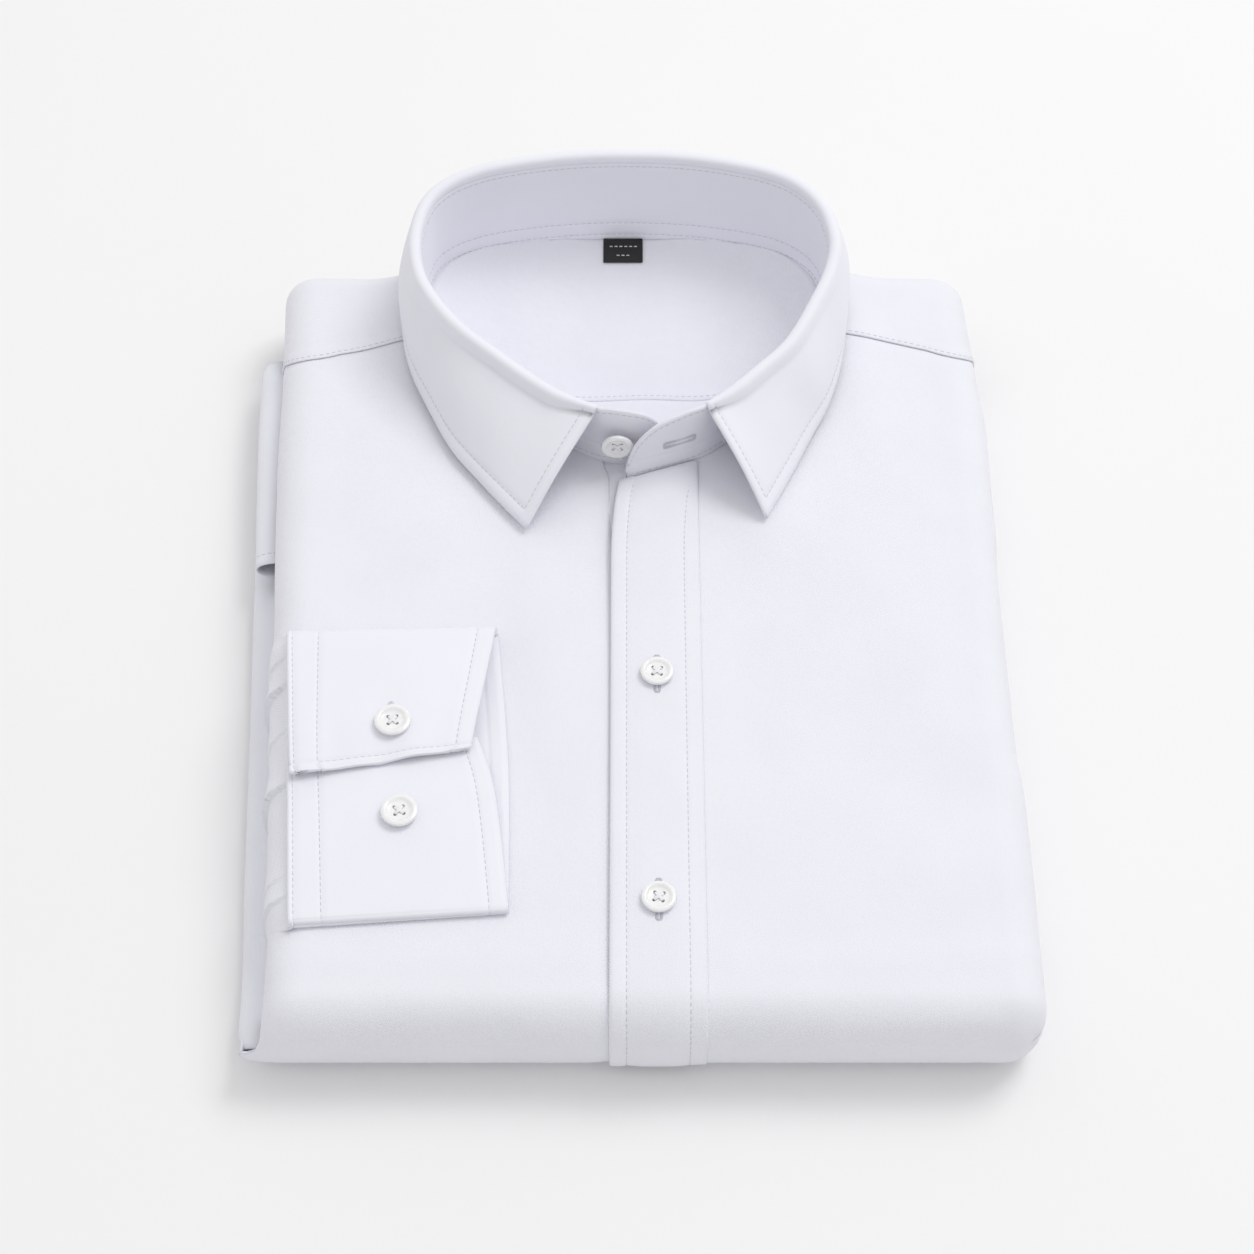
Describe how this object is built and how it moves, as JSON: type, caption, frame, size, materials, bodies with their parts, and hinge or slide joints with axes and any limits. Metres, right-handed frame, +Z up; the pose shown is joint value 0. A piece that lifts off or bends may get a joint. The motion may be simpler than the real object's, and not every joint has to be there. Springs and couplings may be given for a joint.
{
  "type": "folded dress shirt",
  "caption": "Long-sleeved white dress shirt folded flat for the shelf, front up, with a standing turned collar and one cuff laid over the front.",
  "frame": {"origin": "on the flat underside that the shirt rests on, below the middle of the folded shirt", "axes": "+Z up out of the front; +Y from the bottom fold towards the collar; +X towards the viewer's right when looking at the front"},
  "size_m": [0.2884, 0.3644, 0.0867],
  "materials": {
    "shirt_cloth": "fine white cotton twill with a soft sheen",
    "collar_cloth": "white cotton twill fused to an interlining, smooth and firm",
    "button_white": "pearl white, polished",
    "label_black": "woven black satin with plain pale marks"
  },
  "bodies": {
    "root": {"front_left": "shirt_cloth", "front_right": "shirt_cloth", "placket": "shirt_cloth", "button_band": "shirt_cloth", "yoke": "shirt_cloth", "yoke_inner": "shirt_cloth", "back_panel": "shirt_cloth", "back_outer": "shirt_cloth", "shirt_tail": "shirt_cloth", "folded_core": "shirt_cloth", "collar_stand": "collar_cloth", "collar_fall": "collar_cloth", "cuff": "collar_cloth", "sleeve_right": "shirt_cloth", "side_layer_upper": "shirt_cloth", "side_layer_lower": "shirt_cloth", "neck_label": "label_black", "collar_button": "button_white", "placket_button_1": "button_white", "placket_button_2": "button_white", "cuff_button_1": "button_white", "cuff_button_2": "button_white"}
  },
  "joints": []
}
